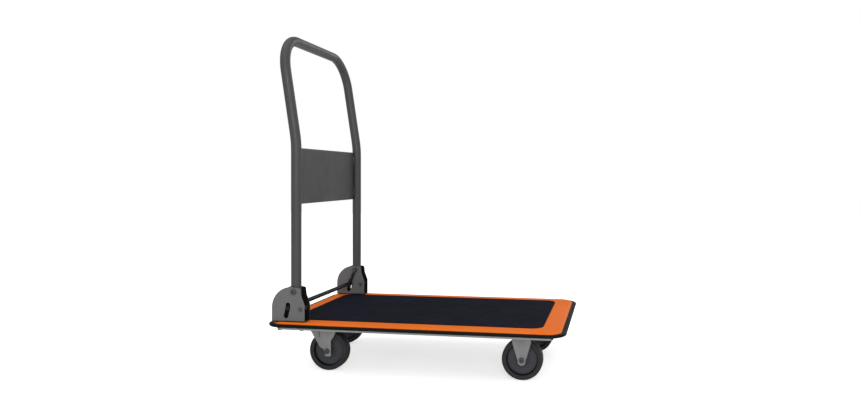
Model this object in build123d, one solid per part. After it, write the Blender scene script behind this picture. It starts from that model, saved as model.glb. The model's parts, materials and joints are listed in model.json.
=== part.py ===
from build123d import *
import math
import os

# Folding platform cart, millimetres. +X points to the front of the deck, away from the handle,
# +Y to the left of a person pushing it, +Z up. The origin is on the floor under the deck's middle.

# ---- deck -------------------------------------------------------------------------------------
deck_length = 718.0
deck_width = 458.0
deck_corner = 35.0
deck_sheet = 1.5
skirt_depth = 9.5
rim_drop = 4.5
rim_run = 7.0

mat_side_inset = 42.0
mat_back_inset = 37.5
mat_front_inset = 46.5
mat_corner = 30.0
mat_thickness = 1.6

bumper_proud = 11.0
bumper_rise = 0.5
bumper_lip = 5.0
bumper_lip_thickness = 1.5
bumper_round = 3.2

# ---- underframe -------------------------------------------------------------------------------
rail_back_inset = 9.0
rail_front_inset = 19.0
rail_inset = 9.5
rail_flange = 20.0
rail_height = 18.0
rail_wall = 2.0
rail_corner_gap = 0.5
member_wall = 2.0
member_depth = 6.5
member_lip = 14.0
member_end_gap = 0.5
plate_side_margin = 2.5
middle_member_width = 50.0

# ---- casters ----------------------------------------------------------------------------------
wheel_diameter = 100.0
wheel_width = 30.0
tyre_band = 9.0
tyre_round = 3.5
core_rim_recess = 2.0
core_disc_recess = 10.0
core_rim_wall = 3.0
hub_wall = 2.4
hub_overhang = 2.0
bush_wall = 3.0
sleeve_wall = 2.0
axle_radius = 4.0
axle_head_radius = 6.5
axle_head_height = 4.0
wheel_side_gap = 3.0
fork_sheet = 2.5
crown_sheet = 3.0
wheel_top_gap = 13.5
ball_diameter = 6.0
ball_gap = 0.25
ball_count = 12
ball_pitch_radius = 23.5
race_wall = 2.5
king_pin_radius = 6.0
king_head_radius = 11.0
king_head_height = 3.0
plate_length = 95.0
plate_width = 70.0
plate_corner = 6.0
plate_sheet = 2.5
plate_hole_x = 75.0
plate_hole_y = 50.0
swivel_trail = 33.5
swivel_back_inset = 89.5
front_axle_inset = 99.5
caster_inset = 89.5
crown_back = 23.0
crown_front = 27.0
crown_shoulder_drop = 10.0
cheek_crease = 21.0
cheek_turn_in = 0.13
strip_half = 8.0
strip_shift = 2.0
rigid_fork_half = 24.5
rigid_knee_rise = 41.0
fork_tip_drop = 13.0
fork_tip_radius = 9.5

# ---- handle -----------------------------------------------------------------------------------
tube_radius = 12.7
tube_wall = 1.5
leg_back_inset = 62.0
leg_side_inset = 23.5
bend_height = 443.5
bend_radius = 300.0
lean_back = 41.0
handle_bar_height = 709.0
handle_corner = 88.0
tube_tail = 52.0
panel_bottom_height = 288.5
panel_height = 142.0
panel_set_back = 6.0
panel_depth = 8.0
panel_sheet = 1.5
panel_bend = 3.0
panel_side_gap = 0.1

# ---- hinge brackets ---------------------------------------------------------------------------
pivot_height = 74.5
pivot_radius = 4.0
pivot_bush_wall = 2.0
pivot_end_gap = 0.4
bracket_sheet = 2.5
bracket_tube_gap = 0.8
bracket_bend = 5.0
bracket_back_reach = 57.0
bracket_front_wall = 6.2
bracket_arc_radius = 51.0
bracket_head = 12.0
bracket_nose_reach = 18.5
bracket_nose_drop = 3.0
bracket_brow_drop = 17.0
bracket_brow_reach = 1.5
bracket_knee_height = 42.5
bracket_bolt_margin = 14.0
stop_height = 31.5
stop_radius = 5.0
stop_gap = 0.1
stop_pin_radius = 3.0
stop_head_height = 1.5

# ---- lock bar and its springs -----------------------------------------------------------------
lock_set_back = 2.3
lock_height = 34.0
lock_travel_x = -4.5
lock_travel_z = -19.0
lock_radius = 5.5
lock_slot_gap = 0.6
lock_notch_gap = 0.35
lock_end_proud = 2.0
slot_head_x = 0.5
slot_head_z = 8.0
fold_angle = 98.0
clip_wall = 2.2
clip_thickness = 1.2
spring_radius = 4.0
spring_wire = 1.5
spring_gap = 0.3
spring_lead = 8.5

# ---- fasteners and fits -----------------------------------------------------------------------
bolt_radius = 4.0
bolt_hole_gap = 0.2
thread_gap = 0.05
running_gap = 0.05
king_pin_gap = 0.1
head_radius = 6.5
head_height = 3.5
socket_flats = 5.0
nut_flats = 13.0
nut_height = 6.0
bolt_end = 2.5

# ---- sizes that follow ------------------------------------------------------------------------
wheel_radius = wheel_diameter / 2
axle_z = wheel_radius
fork_inner = wheel_width / 2 + wheel_side_gap
fork_outer = fork_inner + fork_sheet
crown_bottom = wheel_diameter + wheel_top_gap
crown_top = crown_bottom + crown_sheet
plate_bottom = crown_top + ball_diameter + 2 * ball_gap
plate_top = plate_bottom + plate_sheet
deck_under = plate_top + member_depth
deck_top = deck_under + deck_sheet
skirt_bottom = deck_top - skirt_depth
rim_edge_z = deck_top - rim_drop
deck_back = -deck_length / 2
deck_front = deck_length / 2
rail_outer = deck_width / 2 - rail_inset
rail_inner = rail_outer - rail_flange
rail_bottom = deck_under - rail_height
rail_back = deck_back + rail_back_inset
rail_front = deck_front - rail_front_inset
caster_member_width = plate_length + 2 * plate_side_margin
rear_swivel_x = deck_back + swivel_back_inset
front_axle_x = deck_front - front_axle_inset
caster_y = deck_width / 2 - caster_inset
middle_member_x = (rear_swivel_x + front_axle_x) / 2
sleeve_radius = axle_radius + running_gap + sleeve_wall
bush_inner = sleeve_radius + running_gap
bush_radius = bush_inner + bush_wall
hub_radius = bush_radius + hub_wall
core_radius = wheel_radius - tyre_band
hub_half = wheel_width / 2 + hub_overhang
leg_x = deck_back + leg_back_inset
leg_y = deck_width / 2 - leg_side_inset
bend_z = deck_top + bend_height
handle_bar_z = deck_top + handle_bar_height
panel_bottom = deck_top + panel_bottom_height
panel_top = panel_bottom + panel_height
panel_front_x = leg_x - panel_set_back
pivot_z = deck_top + pivot_height
stop_x = leg_x + tube_radius + stop_radius + stop_gap
stop_z = deck_top + stop_height
lock_x = leg_x - tube_radius - lock_set_back
lock_z = deck_top + lock_height
bracket_inside = tube_radius + bracket_tube_gap
bracket_outside = bracket_inside + bracket_sheet
bracket_back_x = leg_x - bracket_back_reach
bracket_front_x = stop_x + stop_radius + bracket_front_wall
bracket_top = pivot_z + bracket_head
bracket_shoulder_z = bracket_top - bracket_arc_radius
bracket_nose_x = leg_x + bracket_nose_reach
bracket_knee_z = deck_top + bracket_knee_height
bracket_bolt_xs = (bracket_back_x + bracket_bolt_margin, bracket_front_x - bracket_bolt_margin)
inboard_y = leg_y - bracket_outside
pivot_bush_inner = pivot_radius + running_gap
pivot_bush_radius = pivot_bush_inner + pivot_bush_wall
lock_travel = math.hypot(lock_travel_x, lock_travel_z)
clip_radius = lock_radius + clip_wall
spring_plane_y = inboard_y - spring_gap - spring_wire / 2
pivot_nut_y = inboard_y - 2 * spring_gap - spring_wire
clip_y = pivot_nut_y - spring_gap
bolt_hole_radius = bolt_radius + bolt_hole_gap

LEFT, RIGHT = 1, -1
SIDES = (("left", LEFT), ("right", RIGHT))

os.makedirs("parts", exist_ok=True)


# ---- plain shapes -----------------------------------------------------------------------------
def block(x0, x1, y0, y1, z0, z1):
    """A box between two corners."""
    middle = Pos((x0 + x1) / 2, (y0 + y1) / 2, (z0 + z1) / 2)
    return middle * Box(abs(x1 - x0), abs(y1 - y0), abs(z1 - z0))


def post(radius, x, y, z0, z1):
    """A round bar that stands along Z."""
    return Pos(x, y, (z0 + z1) / 2) * Cylinder(radius, abs(z1 - z0))


def rod(radius, x, z, y0, y1):
    """A round bar that lies along Y."""
    return Pos(x, (y0 + y1) / 2, z) * Rot(90, 0, 0) * Cylinder(radius, abs(y1 - y0))


def slab(length, width, corner, z0, z1):
    """A plate with rounded corners, centred on the origin."""
    return Pos(0, 0, z0) * extrude(RectangleRounded(length, width, corner), z1 - z0)


def side_plate(outline, y0, y1):
    """An outline drawn in X and Z, made a plate from y0 to y1."""
    face = Pos(0, min(y0, y1), 0) * (Plane.XZ * outline)
    return extrude(face, abs(y1 - y0), dir=(0, 1, 0))


def facing(side):
    """Turns +Z to point out of the given side of the cart."""
    return Rot(-90 * side, 0, 0)


def bolt(radius, length, head_r, head_h):
    """A bolt with a domed socket head: the head sits on z = 0 and the shank hangs below it."""
    head = Pos(0, 0, head_h / 2) * Cylinder(head_r, head_h)
    head = fillet(head.edges().sort_by(Axis.Z)[-1], head_h * 0.45)
    hexagon = RegularPolygon(socket_flats / 2, 6, major_radius=False)
    socket = Pos(0, 0, head_h * 0.4) * extrude(hexagon, head_h)
    shank = Pos(0, 0, -length / 2) * Cylinder(radius, length)
    return head - socket + shank


def nut(radius, flats, height):
    """A hexagon nut that hangs below z = 0, with its bore clear of the thread."""
    body = Pos(0, 0, -height) * extrude(RegularPolygon(flats / 2, 6, major_radius=False), height)
    return body - Cylinder(radius + thread_gap, 3 * height)


def save(name, *solids):
    """Writes one node: a single piece, or a group of like pieces."""
    shape = solids[0] if len(solids) == 1 else Compound(children=list(solids))
    export_step(shape, f"parts/{name}.step")


# ---- deck -------------------------------------------------------------------------------------
def rimmed_slab(shrink, top):
    """The deck's outer form: its top edge slopes down all round, into an upright skirt."""
    form = slab(deck_length - 2 * shrink, deck_width - 2 * shrink, deck_corner - shrink, skirt_bottom, top)
    return chamfer(form.faces().sort_by(Axis.Z)[-1].edges(), rim_drop, rim_run)


def bracket_bolt_places():
    return [(x, side * leg_y) for x in bracket_bolt_xs for _, side in SIDES]


def make_deck_pan():
    pan = rimmed_slab(0, deck_top) - rimmed_slab(deck_sheet, deck_under)
    for x, y in bracket_bolt_places():
        pan -= post(bolt_hole_radius, x, y, deck_under - 1, deck_top + 1)
    return pan


def make_deck_mat():
    length = deck_length - mat_back_inset - mat_front_inset
    width = deck_width - 2 * mat_side_inset
    mat = slab(length, width, mat_corner, deck_top, deck_top + mat_thickness)
    return Pos((mat_back_inset - mat_front_inset) / 2, 0, 0) * mat


def make_edge_bumper():
    bottom = skirt_bottom - bumper_lip_thickness
    outer = slab(
        deck_length + 2 * bumper_proud, deck_width + 2 * bumper_proud, deck_corner + bumper_proud,
        bottom, rim_edge_z + bumper_rise)
    rims = outer.faces().sort_by(Axis.Z)[0].edges() + outer.faces().sort_by(Axis.Z)[-1].edges()
    outer = fillet(rims, bumper_round)
    pocket = slab(deck_length, deck_width, deck_corner, skirt_bottom, deck_top)
    mouth = slab(
        deck_length - 2 * bumper_lip, deck_width - 2 * bumper_lip, deck_corner - bumper_lip,
        bottom - 1, deck_top)
    return outer - pocket - mouth


# ---- underframe -------------------------------------------------------------------------------
def make_side_rail(side):
    """A channel that opens inwards, its ends trimmed round the deck's corners."""
    outer = block(rail_back, rail_front, side * rail_inner, side * rail_outer, rail_bottom, deck_under)
    hollow = block(
        rail_back - 1, rail_front + 1, side * (rail_inner - 1), side * (rail_outer - rail_wall),
        rail_bottom + rail_wall, deck_under - rail_wall)
    rail = outer - hollow
    for x, y in bracket_bolt_places():
        if y * side > 0:
            rail -= post(bolt_hole_radius, x, y, rail_bottom - 1, deck_under + 1)
    inset = deck_sheet + rim_run + rail_corner_gap
    corners = slab(
        deck_length - 2 * inset, deck_width - 2 * inset, deck_corner - inset, rail_bottom - 1, deck_under + 1)
    return rail & corners


def caster_bolt_places(x):
    spots = [(x + i * plate_hole_x / 2, j * plate_hole_y / 2) for i in (-1, 1) for j in (-1, 1)]
    return [(px, side * caster_y + py) for px, py in spots for _, side in SIDES]


def make_cross_member(x, width, bolts=()):
    """A hat channel across the deck's underside, web down, with a lip along each edge."""
    half_y = rail_inner - member_end_gap
    outer = block(x - width / 2, x + width / 2, -half_y, half_y, plate_top, deck_under)
    hollow = block(
        x - width / 2 + member_wall, x + width / 2 - member_wall, -half_y - 1, half_y + 1,
        plate_top + member_wall, deck_under + 1)
    lips = block(
        x - width / 2 - member_lip, x + width / 2 + member_lip, -half_y, half_y,
        deck_under - member_wall, deck_under)
    member = outer + lips - hollow
    for px, py in bolts:
        member -= post(bolt_hole_radius, px, py, plate_top - 1, plate_top + member_wall + 1)
    return member


def make_caster_member(x):
    return make_cross_member(x, caster_member_width, caster_bolt_places(x))


# ---- casters ----------------------------------------------------------------------------------
def rear_axle_x(side):
    """The right caster's wheel stands in front of its king pin, and the left one's behind it."""
    return rear_swivel_x - side * swivel_trail


def plate_shape(x, y):
    plate = Pos(x, y, 0) * slab(plate_length, plate_width, plate_corner, plate_bottom, plate_top)
    for px, py in caster_bolt_places(x):
        if py * y > 0:
            plate -= post(bolt_hole_radius, px, py, plate_bottom - 1, plate_top + 1)
    return plate


def make_swivel_plate(side):
    """The fixed top plate of a swivel caster, with the ring that shrouds its balls."""
    x, y = rear_swivel_x, side * caster_y
    ring_inner = ball_pitch_radius + ball_diameter / 2 + 1.0
    ring_bottom = crown_top + 2 * ball_gap
    ring = post(ring_inner + race_wall, x, y, ring_bottom, plate_bottom)
    ring -= post(ring_inner, x, y, ring_bottom - 1, plate_bottom + 1)
    bore = post(king_pin_radius + running_gap, x, y, plate_bottom - 1, plate_top + 1)
    return plate_shape(x, y) + ring - bore


def make_swivel_balls(side):
    centre = Pos(rear_swivel_x, side * caster_y, crown_top + ball_gap + ball_diameter / 2)
    around = PolarLocations(ball_pitch_radius, ball_count)
    return [centre * spot * Sphere(ball_diameter / 2) for spot in around]


def make_king_pin(side):
    x, y = rear_swivel_x, side * caster_y
    head_top = crown_bottom - ball_gap
    head = post(king_head_radius, x, y, head_top - king_head_height, head_top)
    head = fillet(head.edges().sort_by(Axis.Z)[0], king_head_height * 0.6)
    return head + post(king_pin_radius, x, y, head_top, plate_top)


def swivel_leg_outline():
    """One cheek of the swivel fork: it spreads from the crown, then closes in to a strip at the axle."""
    x, z = swivel_trail, axle_z
    low, high = x + strip_shift - strip_half, x + strip_shift + strip_half
    outline = Polygon(
        (-crown_back, crown_top), (crown_front, crown_top), (crown_front + 2, crown_bottom),
        (x + 24, crown_bottom - crown_shoulder_drop), (x + 18, z + 38), (high, z + 27),
        (high, z - fork_tip_drop), (low, z - fork_tip_drop), (low, z - 2.5), (low - 4, z + 5.5),
        (x - 18.5, z + 9.5), (x - 38, z + 38.5), align=None)
    tips = outline.vertices().sort_by(Axis.Y)[:2]
    return fillet(tips, 4.0)


def swivel_fork_plan(inset, back, front):
    """The fork seen from above: behind a crease its cheeks turn in towards the wheel."""
    crease, half = swivel_trail - cheek_crease, fork_outer - inset
    turned = half - (crease - back) * cheek_turn_in
    return Polygon(
        (back, -turned), (crease, -half), (front, -half), (front, half), (crease, half), (back, turned),
        align=None)


def make_swivel_fork(side):
    """The crown and two cheeks, pressed from one sheet; the two rear casters point opposite ways."""
    back, front = -crown_back - 2, swivel_trail + 30
    walls = extrude(swivel_fork_plan(0, back, front), crown_top)
    walls -= extrude(swivel_fork_plan(fork_sheet, back - 1, front + 1), crown_top)
    fork = walls & side_plate(swivel_leg_outline(), -fork_outer - 1, fork_outer + 1)
    crown = swivel_fork_plan(0, -crown_back, crown_front) + Circle(ball_pitch_radius + ball_diameter / 2 + 0.5)
    fork += Pos(0, 0, crown_bottom) * extrude(crown, crown_sheet)
    fork -= post(king_pin_radius + king_pin_gap, 0, 0, crown_bottom - 1, crown_top + 1)
    fork -= rod(axle_radius + bolt_hole_gap, swivel_trail, axle_z, -fork_outer - 1, fork_outer + 1)
    turn = 180 if side == LEFT else 0
    return Pos(rear_swivel_x, side * caster_y, 0) * Rot(0, 0, turn) * fork


def rigid_leg_outline():
    """One cheek of the fixed fork: straight sides that close in to a round tip."""
    tip_z = axle_z - fork_tip_drop + fork_tip_radius
    half, knee, tip = rigid_fork_half, rigid_fork_half - 2, fork_tip_radius
    knee_z = axle_z + rigid_knee_rise
    taper = Polygon(
        (-half, plate_bottom + 1), (half, plate_bottom + 1), (half, crown_bottom), (knee, knee_z),
        (tip, tip_z + 2), (-tip, tip_z + 2), (-knee, knee_z), (-half, crown_bottom), align=None)
    return taper + Pos(0, tip_z) * Circle(fork_tip_radius)


def make_rigid_fork(side):
    """The fixed caster's plate and its two cheeks, pressed from one sheet."""
    x, y = front_axle_x, side * caster_y
    fork = plate_shape(x, y)
    for cheek in (-1, 1):
        fork += Pos(x, y, 0) * side_plate(rigid_leg_outline(), cheek * fork_inner, cheek * fork_outer)
    return fork - rod(axle_radius + bolt_hole_gap, x, axle_z, y - fork_outer - 1, y + fork_outer + 1)


def make_tyre(x, side):
    tyre = Cylinder(wheel_radius, wheel_width)
    tyre = fillet(tyre.edges().filter_by(GeomType.CIRCLE), tyre_round)
    tyre -= Cylinder(core_radius, 2 * wheel_width)
    return Pos(x, side * caster_y, axle_z) * Rot(90, 0, 0) * tyre


def make_wheel_core(x, side):
    """The wheel's moulded middle: a rim inside the tyre, a sunk disc and a hub that stands proud."""
    rim = Cylinder(core_radius, wheel_width - 2 * core_rim_recess)
    dish_depth = core_disc_recess - core_rim_recess
    for end in (-1, 1):
        dish = Cylinder(core_radius - core_rim_wall, 2 * dish_depth)
        rim -= Pos(0, 0, end * (wheel_width / 2 - core_rim_recess)) * dish
    core = rim + Cylinder(hub_radius, 2 * hub_half) - Cylinder(bush_radius, 4 * hub_half)
    return Pos(x, side * caster_y, axle_z) * Rot(90, 0, 0) * core


def tube_on_axle(x, side, outer, inner, half):
    y = side * caster_y
    return rod(outer, x, axle_z, y - half, y + half) - rod(inner, x, axle_z, y - half - 1, y + half + 1)


def make_wheel_bush(x, side):
    return tube_on_axle(x, side, bush_radius, bush_inner, hub_half)


def make_axle_sleeve(x, side):
    return tube_on_axle(x, side, sleeve_radius, axle_radius + running_gap, fork_inner)


def make_axle_bolt(x, side):
    length = 2 * fork_outer + nut_height + bolt_end
    screw = bolt(axle_radius, length, axle_head_radius, axle_head_height)
    return Pos(x, side * (caster_y + fork_outer), axle_z) * facing(side) * screw


def make_axle_nut(x, side):
    place = Pos(x, side * (caster_y - fork_outer), axle_z)
    return place * facing(side) * nut(axle_radius, nut_flats, nut_height)


# ---- hinge brackets ---------------------------------------------------------------------------
def capsule(x0, z0, x1, z1, radius):
    """A round-ended slot between two points, drawn in X and Z."""
    angle = math.degrees(math.atan2(z1 - z0, x1 - x0))
    length = math.hypot(x1 - x0, z1 - z0)
    return Pos((x0 + x1) / 2, (z0 + z1) / 2) * Rot(0, 0, angle) * SlotCenterToCenter(length, 2 * radius)


def lock_slot_outline():
    """The lock bar's slot: a slanted run below the bar, and a short upright one above it."""
    low_x, low_z = lock_x + lock_travel_x, lock_z + lock_travel_z
    head_x, head_z = lock_x + slot_head_x, lock_z + slot_head_z
    radius = lock_radius + lock_slot_gap
    run = capsule(low_x, low_z, lock_x, lock_z, radius)
    head = capsule(lock_x, lock_z, head_x, head_z, radius)
    return run + head


def bracket_outline():
    """The bracket's cheek: upright behind, a round shoulder, a nose in front of the pivot, a slanted front."""
    shoulder_x = bracket_back_x + bracket_arc_radius
    top_z = bracket_shoulder_z + bracket_arc_radius
    nose_z = top_z - bracket_nose_drop
    brow_z = nose_z - bracket_brow_drop
    arc = CenterArc((shoulder_x, bracket_shoulder_z), bracket_arc_radius, 90, 90)
    lines = Polyline(
        (shoulder_x, top_z), (bracket_nose_x, nose_z), (bracket_nose_x + bracket_brow_reach, brow_z),
        (bracket_front_x, bracket_knee_z), (bracket_front_x, deck_top), (bracket_back_x, deck_top),
        (bracket_back_x, bracket_shoulder_z))
    outline = make_face(arc + lines)
    nose = outline.vertices().sort_by(Axis.Y)[-2:].sort_by(Axis.X)[-1]
    return fillet(nose, 5.0)


def make_hinge_bracket(side):
    """A channel folded from one sheet: two cheeks on a base, with bent lower corners."""
    tall = 2 * (pivot_z - deck_top)
    outer = RectangleRounded(2 * bracket_outside, 2 * tall, bracket_bend)
    inner = RectangleRounded(2 * bracket_inside, 2 * tall, bracket_bend - bracket_sheet)
    section = Pos(side * leg_y, deck_top + tall) * (outer - Pos(0, bracket_sheet) * inner)
    back_end = Pos(bracket_back_x - 1, 0, 0) * (Plane.YZ * section)
    channel = extrude(back_end, bracket_front_x - bracket_back_x + 2)
    span = side * (leg_y - bracket_outside - 1), side * (leg_y + bracket_outside + 1)
    bracket = channel & side_plate(bracket_outline(), *span)
    bracket -= side_plate(lock_slot_outline(), *span)
    bracket -= rod(pivot_radius + bolt_hole_gap, leg_x, pivot_z, *span)
    bracket -= rod(stop_pin_radius + running_gap, stop_x, stop_z, *span)
    for x in bracket_bolt_xs:
        bracket -= post(bolt_hole_radius, x, side * leg_y, deck_top - 1, deck_top + bracket_sheet + 1)
    return bracket


def make_bracket_bolts():
    """The heads sit under the rails, and the shanks come up through rail, deck and bracket."""
    length = deck_top + bracket_sheet - rail_bottom + nut_height + bolt_end
    screw = Rot(180, 0, 0) * bolt(bolt_radius, length, head_radius, head_height)
    return [Pos(x, y, rail_bottom) * screw for x, y in bracket_bolt_places()]


def make_bracket_nuts():
    standing = Pos(0, 0, nut_height) * nut(bolt_radius, nut_flats, nut_height)
    return [Pos(x, y, deck_top + bracket_sheet) * standing for x, y in bracket_bolt_places()]


def make_stop_rivet(side):
    """The spacer in front of the tube's foot, riveted over outside both cheeks."""
    near, far = leg_y - bracket_outside, leg_y + bracket_outside
    rivet = rod(stop_radius, stop_x, stop_z, side * (leg_y - bracket_inside), side * (leg_y + bracket_inside))
    ends = near - stop_head_height, far + stop_head_height
    rivet += rod(stop_pin_radius, stop_x, stop_z, side * ends[0], side * ends[1])
    for face, out in ((near, -1), (far, 1)):
        rivet += rod(stop_radius, stop_x, stop_z, side * face, side * (face + out * stop_head_height))
    return rivet


def make_pivot_bolt(side):
    length = leg_y + bracket_outside - pivot_nut_y + nut_height + bolt_end
    screw = bolt(pivot_radius, length, head_radius + 0.5, head_height + 0.5)
    return Pos(leg_x, side * (leg_y + bracket_outside), pivot_z) * facing(side) * screw


def make_pivot_nut(side):
    return Pos(leg_x, side * pivot_nut_y, pivot_z) * facing(side) * nut(pivot_radius, nut_flats, nut_height)


def make_caster_bolts():
    screw = bolt(bolt_radius, member_wall + plate_sheet + nut_height + bolt_end, head_radius, head_height)
    places = caster_bolt_places(rear_swivel_x) + caster_bolt_places(front_axle_x)
    return [Pos(x, y, plate_top + member_wall) * screw for x, y in places]


def make_caster_nuts():
    places = caster_bolt_places(rear_swivel_x) + caster_bolt_places(front_axle_x)
    return [Pos(x, y, plate_bottom) * nut(bolt_radius, nut_flats, nut_height) for x, y in places]


# ---- lock bar ---------------------------------------------------------------------------------
def make_lock_bar():
    half = leg_y + bracket_outside + lock_end_proud
    bar = rod(lock_radius, lock_x, lock_z, -half, half)
    return chamfer(bar.edges().filter_by(GeomType.CIRCLE), 0.8)


def make_lock_clip(side):
    inner_y = clip_y - clip_thickness
    clip = rod(clip_radius, lock_x, lock_z, side * clip_y, side * inner_y)
    return clip - rod(lock_radius + thread_gap, lock_x, lock_z, side * (clip_y + 1), side * (inner_y - 1))


def make_return_spring(side):
    """An extension spring from the pivot bolt to the lock bar: a coil with a side loop at each end."""
    dx, dz = lock_x - leg_x, lock_z - pivot_z
    length = math.hypot(dx, dz)
    ux, uz = dx / length, dz / length
    wire = spring_wire / 2
    plane_y, coil_y = side * spring_plane_y, side * (spring_plane_y + wire - spring_radius)
    along = math.degrees(math.atan2(ux, uz))
    loop_radius = lock_radius + lock_notch_gap + wire
    spring = None
    for x, z in ((leg_x, pivot_z), (lock_x, lock_z)):
        loop = Pos(x, plane_y, z) * Rot(90, 0, 0) * Torus(loop_radius, wire)
        spring = loop if spring is None else spring + loop
    for start in (loop_radius, length - spring_lead - 1):
        middle = start + (spring_lead + 1 - loop_radius) / 2
        spot = Pos(leg_x + ux * middle, plane_y, pivot_z + uz * middle) * Rot(0, along, 0)
        spring += spot * Cylinder(wire, spring_lead + 1 - loop_radius)
    coil_length = length - 2 * spring_lead
    coil = Cylinder(spring_radius, coil_length) - Cylinder(spring_radius - spring_wire, coil_length + 1)
    return spring + Pos(leg_x + ux * length / 2, coil_y, pivot_z + uz * length / 2) * Rot(0, along, 0) * coil


# ---- handle -----------------------------------------------------------------------------------
def lock_bar_seen_from_handle(angle):
    """Where the lock bar's axis is, from the pivot, in the handle's own frame, as the handle folds.
    The bar sinks evenly along its slot while the handle turns."""
    share = angle / fold_angle
    x = lock_x + lock_travel_x * share - leg_x
    z = lock_z + lock_travel_z * share - pivot_z
    turn = -math.radians(angle)
    return x * math.cos(turn) + z * math.sin(turn), -x * math.sin(turn) + z * math.cos(turn)


def foot_curve_point(angle):
    """A point of the tube's cut foot: it rides round the lock bar with a small gap."""
    x, z = lock_bar_seen_from_handle(angle)
    ahead_x, ahead_z = lock_bar_seen_from_handle(angle + 0.5)
    step = math.hypot(ahead_x - x, ahead_z - z)
    reach = (lock_radius + lock_notch_gap) / step
    return leg_x + x - (ahead_z - z) * reach, pivot_z + z + (ahead_x - x) * reach


def foot_cut_outline():
    start, end, step = -6, 42, 6
    points = [foot_curve_point(angle) for angle in range(start, end + 1, step)]
    low = pivot_z - 2 * tube_tail
    corners = Polyline(points[-1], (points[-1][0] + 20, points[-1][1]), (points[-1][0] + 20, low),
                       (points[0][0] - 20, low), (points[0][0] - 20, points[0][1]), points[0])
    return make_face(Spline(*points) + corners)


def make_handle_tube():
    """One bent tube: two upright legs that lean back near the top, and the bar that joins them."""
    foot_z = pivot_z - tube_tail
    right = [(leg_x, -leg_y, foot_z), (leg_x, -leg_y, bend_z), (leg_x - lean_back, -leg_y, handle_bar_z)]
    left = [(x, -y, z) for x, y, z in reversed(right)]
    path = FilletPolyline(*right, *left, radius=[bend_radius, handle_corner, handle_corner, bend_radius])
    start = Plane(origin=right[0], z_dir=(0, 0, 1))
    tube = sweep(start * Circle(tube_radius), path) - sweep(start * Circle(tube_radius - tube_wall), path)
    for _, side in SIDES:
        span = side * (leg_y - tube_radius - 1), side * (leg_y + tube_radius + 1)
        tube -= side_plate(foot_cut_outline(), *span)
        tube -= rod(pivot_bush_radius, leg_x, pivot_z, *span)
    return tube


def make_pivot_bush(side):
    half = bracket_inside - pivot_end_gap
    span = side * (leg_y - half), side * (leg_y + half)
    wide = side * (leg_y - half - 1), side * (leg_y + half + 1)
    return rod(pivot_bush_radius, leg_x, pivot_z, *span) - rod(pivot_bush_inner, leg_x, pivot_z, *wide)


def make_handle_panel():
    """A sheet set back between the legs, bent back along its top and bottom, its ends against the tubes."""
    half = leg_y - math.sqrt(tube_radius ** 2 - panel_set_back ** 2) - panel_side_gap
    back = panel_front_x - panel_depth
    outer = block(back, panel_front_x, -half, half, panel_bottom, panel_top)
    outer = fillet(outer.faces().sort_by(Axis.X)[-1].edges().filter_by(Axis.Y), panel_bend)
    inner = block(
        back - 1, panel_front_x - panel_sheet, -half - 1, half + 1, panel_bottom + panel_sheet,
        panel_top - panel_sheet)
    inner = fillet(inner.faces().sort_by(Axis.X)[-1].edges().filter_by(Axis.Y), panel_bend - panel_sheet)
    return outer - inner


# ---- every node -------------------------------------------------------------------------------
save("deck_pan", make_deck_pan())
save("deck_mat", make_deck_mat())
save("edge_bumper", make_edge_bumper())
save("cross_member_rear", make_caster_member(rear_swivel_x))
save("cross_member_middle", make_cross_member(middle_member_x, middle_member_width))
save("cross_member_front", make_caster_member(front_axle_x))
save("bracket_bolts", *make_bracket_bolts())
save("bracket_nuts", *make_bracket_nuts())
save("stop_rivets", *[make_stop_rivet(side) for _, side in SIDES])
save("pivot_bolts", *[make_pivot_bolt(side) for _, side in SIDES])
save("pivot_nuts", *[make_pivot_nut(side) for _, side in SIDES])
save("caster_bolts", *make_caster_bolts())
save("caster_nuts", *make_caster_nuts())
save("king_pins", *[make_king_pin(side) for _, side in SIDES])
save("front_axle_bolts", *[make_axle_bolt(front_axle_x, side) for _, side in SIDES])
save("front_axle_nuts", *[make_axle_nut(front_axle_x, side) for _, side in SIDES])
save("front_axle_sleeves", *[make_axle_sleeve(front_axle_x, side) for _, side in SIDES])
save("lock_bar", make_lock_bar())
save("lock_bar_clips", *[make_lock_clip(side) for _, side in SIDES])
save("handle_tube", make_handle_tube())
save("handle_panel", make_handle_panel())

for word, side in SIDES:
    save(f"side_rail_{word}", make_side_rail(side))
    save(f"hinge_bracket_{word}", make_hinge_bracket(side))
    save(f"return_spring_{word}", make_return_spring(side))
    save(f"pivot_bush_{word}", make_pivot_bush(side))
    save(f"swivel_plate_{word}", make_swivel_plate(side))
    save(f"swivel_balls_{word}", *make_swivel_balls(side))
    save(f"swivel_fork_{word}", make_swivel_fork(side))
    save(f"rear_axle_bolt_{word}", make_axle_bolt(rear_axle_x(side), side))
    save(f"rear_axle_nut_{word}", make_axle_nut(rear_axle_x(side), side))
    save(f"rear_axle_sleeve_{word}", make_axle_sleeve(rear_axle_x(side), side))
    save(f"rigid_fork_{word}", make_rigid_fork(side))
    for end, x in (("rear", rear_axle_x(side)), ("front", front_axle_x)):
        save(f"{end}_tyre_{word}", make_tyre(x, side))
        save(f"{end}_wheel_core_{word}", make_wheel_core(x, side))
        save(f"{end}_wheel_bush_{word}", make_wheel_bush(x, side))
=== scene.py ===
"""The visible finish of a folding platform cart: paint, mat, tyres, wheel cores, springs, welds and a stage.

Everything is in metres, +X to the front of the deck, +Y to the left, +Z up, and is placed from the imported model.
"""
import json
import math

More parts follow.
